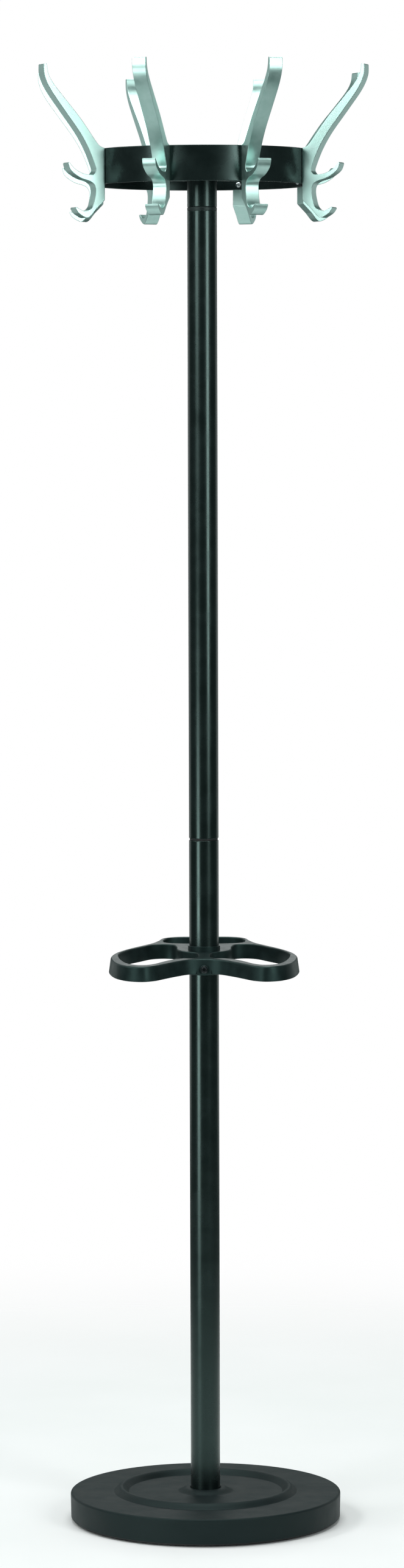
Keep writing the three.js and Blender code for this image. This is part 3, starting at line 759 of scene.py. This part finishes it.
def satin_anodised_aluminium():
    """Tumbled and anodised aluminium: pale silver, softly glossy, with the extrusion's fine lines
    across the width, 0.4 mm apart and drawn at 1 mm so that they show, and a 0.7 mm tumbled grain."""
    made, tree, shader, place = surface("satin anodised aluminium", Metallic=1.0)
    lines_per_metre, grit_per_metre = 1000.0, 1400.0
    own = node(tree, "ShaderNodeUVMap", uv_map="along_and_across").outputs[0]
    blotched(tree, shader, place, 9 * MM, ("#A9CCC5", "#B6D5CF"), (0.33, 0.4))
    drawn = node(tree, "ShaderNodeMapping", {"Vector": own, "Scale": (1.0, 0.05, 1.0)})
    lines = node(
        tree, "ShaderNodeTexNoise", {"Vector": drawn.outputs[0], "Scale": lines_per_metre, "Detail": 2.0}
    )
    first = node(tree, "ShaderNodeBump", {"Height": lines.outputs[0], "Distance": 0.004 * MM})
    grit = node(tree, "ShaderNodeTexNoise", {"Vector": place, "Scale": grit_per_metre, "Detail": 1.0})
    both = node(tree, "ShaderNodeBump", {"Height": grit.outputs[0], "Distance": 0.002 * MM,
                                         "Normal": first.outputs[0]})
    tree.links.new(both.outputs[0], shader.inputs["Normal"])
    return made


def through(*points, steps=9):
    """The Catmull-Rom curve through the points, up to but not with the last: each slope is half the
    difference of the points either side, with the end points counted twice. Radius 0 is added."""
    p = np.vstack([points[:1], points, points[-1:]]) * MM
    p0, p1, p2, p3 = p[:-3], p[1:-2], p[2:-1], p[3:]
    line = hermite(p1, p2, (p2 - p0) / 2, (p3 - p1) / 2, steps).reshape(-1, 2)
    return np.insert(line, 2, 0, axis=1)


def corner(x, z, radius):
    """One corner of an outline, in millimetres, to be rounded off with that radius."""
    return np.array([[x, z, radius]]) * MM


upper_tip = [(0, 0), (7, 2.8), (13.5, 10.5), (32.6, 36.2), (54.8, 61.8), (69.3, 79), (76.5, 91.5),
             (78.6, 104)]
upper_back = [(82.6, 103.4), (81.8, 89), (73.6, 71.5), (54.8, 46.2), (34.5, 19.6), (22, -1.2),
              (13.6, -20.8), (11.8, -28.5), (15.6, -34)]
middle_top = [(15.6, -34), (28.5, -32.8), (40.5, -27), (48.8, -18.2)]
lower_throat = [(50, -20.4), (46, -29.3), (33.5, -37.8), (18.2, -43), (12.6, -51), (13.8, -64.5),
                (18, -75.5), (27.5, -79.8), (39.2, -74.5)]
belly = [(40.2, -76.4), (35, -83), (23, -87.8), (12, -77)]
hook_outline = np.vstack([
    corner(0, -65.5, 2.0), corner(0, 0, 0.8), through(*upper_tip)[1:], corner(78.6, 104, 1.2),
    corner(82.6, 103.4, 1.2), through(*upper_back)[1:], corner(15.6, -34, 0.4), through(*middle_top)[1:],
    corner(48.8, -18.2, 0.75), corner(50, -20.4, 0.75), through(*lower_throat)[1:],
    corner(39.2, -74.5, 0.7), corner(40.2, -76.4, 0.7), through(*belly)[1:], corner(12, -77, 0.8),
])
bends = hook_outline[hook_outline[:, 2] > 0]
gap = np.linalg.norm(hook_outline[:, None, :2] - bends[:, :2], axis=-1) - 1.8 * bends[:, 2]
free = (gap.min(1) > 0) | (hook_outline[:, 2] > 0)
hook_outline = anticlockwise(rounded(hook_outline[free], 4))
hook_width, hook_edge = 18 * MM, 0.6 * MM
rows = across(hook_outline, hook_width, hook_edge)
points, faces = lofted(rows)

count = len(hook_outline)
step = np.linalg.norm(np.roll(hook_outline, -1, 0) - hook_outline, axis=1)
along = np.concatenate([[0], np.cumsum(step)])
level, i = np.meshgrid(np.arange(len(rows) - 1), np.arange(count), indexing="ij")
y_of = rows[:, 0, 1]
wrap_uv = np.stack([
    np.stack([along[i], along[i + 1], along[i + 1], along[i]], -1),
    np.stack([y_of[level], y_of[level], y_of[level + 1], y_of[level + 1]], -1),
], -1).reshape(-1, 2)
side_uv = np.vstack([rows[0][::-1][:, [0, 2]], rows[-1][:, [0, 2]]])
hook_uv = np.vstack([wrap_uv, side_uv]).astype(np.float32)

aluminium = satin_anodised_aluminium()
hook_back = ring_out + 0.1 * MM
blank = mesh_of(points + [hook_back, 0, ring_high], faces)
blank.uv_layers.new(name="along_and_across").data.foreach_set("uv", hook_uv.ravel())
tap_r, tap_depth = 2.2 * MM, 8 * MM
tap = rounded([[0, hook_back - 1 * MM, 0], [tap_r, hook_back - 1 * MM, 0],
               [tap_r, hook_back + tap_depth, 0], [0, hook_back + tap_depth + 0.8 * MM, 0]])
taps = []
for height in screw_heights:
    mesh = mesh_of(*turned(tap, 24))
    mesh.transform(radial(90, height))
    taps.append(("DIFFERENCE", mesh))
blank = boolean(blank, *taps)
for number, azimuth in enumerate(azimuths, 1):
    mesh = blank.copy()
    mesh.transform(Matrix.Rotation(math.radians(azimuth - 90), 4, "Z"))
    piece(f"double_hook_{number}", mesh, aluminium, "head", "satin_aluminium", f"hook_{number}")

# Dome-headed socket screws, zinc plated, their heads inside the ring.
dome_r, dome_rise, dome_edge, socket_flat = 3.6 * MM, 2.5 * MM, 0.35 * MM, 1.25 * MM
shank_r, shank_end = 2 * MM, hook_back + 7.3 * MM
seat = ring_in - 0.05 * MM
a = np.linspace(0.42, np.pi / 2, 8)
dome = np.stack([dome_r * np.sin(a), seat - dome_edge - (dome_rise - dome_edge) * np.cos(a), 0 * a], -1)
socket_rim = dome[0, 1]
screw = np.vstack([
    [[0, seat - 1.1 * MM, 0], [socket_flat, seat - 1.1 * MM, 0], [socket_flat, socket_rim + 0.05 * MM, 0]],
    dome,
    [[dome_r, seat, 0.1 * MM], [shank_r, seat, 0.1 * MM], [shank_r, shank_end, 0.5 * MM], [0, shank_end, 0]],
])
screw = rounded(screw, 3)
socket = (screw[:, 0] <= socket_flat + 1e-6) & (screw[:, 1] < seat)
points, faces = turned(screw, 48, socket)
for number, azimuth in enumerate(azimuths, 1):
    for level, height in zip(("lower", "upper"), screw_heights):
        mesh = mesh_of(points, faces)
        mesh.transform(radial(azimuth, height))
        piece(f"dome_screw_{number}_{level}", mesh, zinc, "head", "zinc_steel",
              f"hook_screw_{number}_{level}")

# ---------------------------------------------------------------- studio
# A round of pale floor that fades into a white surround, softboxes either side of the front, dimmer
# ones behind, one high at the left and one overhead, and a long lens at a standing person's height.

floor_r, floor_sides = 4.0, 96
fade_from, fade_to = 0.5, 2.2
u = np.linspace(0, 2 * np.pi, floor_sides, endpoint=False)
disc = floor_r * np.stack([np.cos(u), np.sin(u), 0 * u], -1)
floor = bpy.data.objects.new("floor", mesh_of(disc, [list(range(floor_sides))]))
bpy.context.scene.collection.objects.link(floor)

paper, tree, shader, place = surface("pale paper floor", IOR=1.45)
blotched(tree, shader, place, 0.4, ("#F1F4F3", "#F6F8F8"), (0.75, 0.85))
distance = node(tree, "ShaderNodeVectorMath", {0: place}, operation="LENGTH").outputs["Value"]
fade = node(tree, "ShaderNodeMapRange", {0: distance, 1: fade_from, 2: fade_to, 3: 1.0, 4: 0.0},
            interpolation_type="SMOOTHERSTEP")
tree.links.new(fade.outputs[0], shader.inputs["Alpha"])
floor.data.materials.append(paper)

world = bpy.data.worlds.new("white surround")
bpy.context.scene.world = world
world.use_nodes = True
tree = world.node_tree
dim = node(tree, "ShaderNodeBackground", {"Color": linear("#A4C0BB"), "Strength": 0.2})
white = node(tree, "ShaderNodeBackground", {"Color": linear("#FFFFFF"), "Strength": 1.0})
seen = node(tree, "ShaderNodeLightPath").outputs["Is Camera Ray"]
mixed = node(tree, "ShaderNodeMixShader", {0: seen, 1: dim.outputs[0], 2: white.outputs[0]})
tree.links.new(mixed.outputs[0], tree.nodes["World Output"].inputs["Surface"])


def softbox(name, azimuth, distance, low, high, width, radiance):
    """A panel of soft light, upright and facing the pole at that azimuth from the front, between two
    heights in metres, that gives off radiance watts per square metre and steradian."""
    lamp = bpy.data.lights.new(name, "AREA")
    lamp.shape, lamp.size, lamp.size_y = "RECTANGLE", width, high - low
    lamp.energy = radiance * math.pi * width * (high - low)
    made = bpy.data.objects.new(name, lamp)
    angle = math.radians(azimuth)
    made.location = (distance * math.sin(angle), -distance * math.cos(angle), (low + high) / 2)
    made.rotation_euler = (math.radians(90), 0, angle)
    made.visible_camera = False
    bpy.context.scene.collection.objects.link(made)
    return made


softbox("left_front_high", -42, 3.0, 1.7, 3.0, 1.1, 6.5)
softbox("left_front_low", -44, 3.0, 0.0, 0.75, 1.0, 7.0)
softbox("right_front", 40, 3.0, 0.9, 3.0, 0.8, 7.0)
softbox("left_behind", -139, 3.0, 0.1, 2.6, 1.9, 0.55)
softbox("right_behind", 139, 3.0, 0.1, 2.6, 1.9, 0.55)
softbox("behind", 180, 3.2, 1.5, 2.9, 1.4, 2.0)
softbox("left_high", -90, 3.0, 3.0, 4.4, 1.8, 8.0)
overhead_size, overhead_height = 2.4, 4.4
overhead = softbox("overhead", 0, 0.0, 0.0, overhead_size, overhead_size, 6.5)
overhead.location = (0, 0, overhead_height)
overhead.rotation_euler = (0, 0, 0)

camera = bpy.data.objects.new("camera", bpy.data.cameras.new("camera"))
bpy.context.scene.collection.objects.link(camera)
bpy.context.scene.camera = camera
camera.data.lens, camera.data.sensor_width = 115.13, 36
camera.data.clip_end = 60
lens_away, lens_height, aside = 6.433, 1.421, -0.0008
look_down, roll = 4.131, 0.158
camera.location = (aside, -lens_away, lens_height)
camera.rotation_euler = (math.radians(90 - look_down), math.radians(roll), 0)

settings = bpy.context.scene.view_settings
settings.view_transform, settings.look = "Standard", "None"
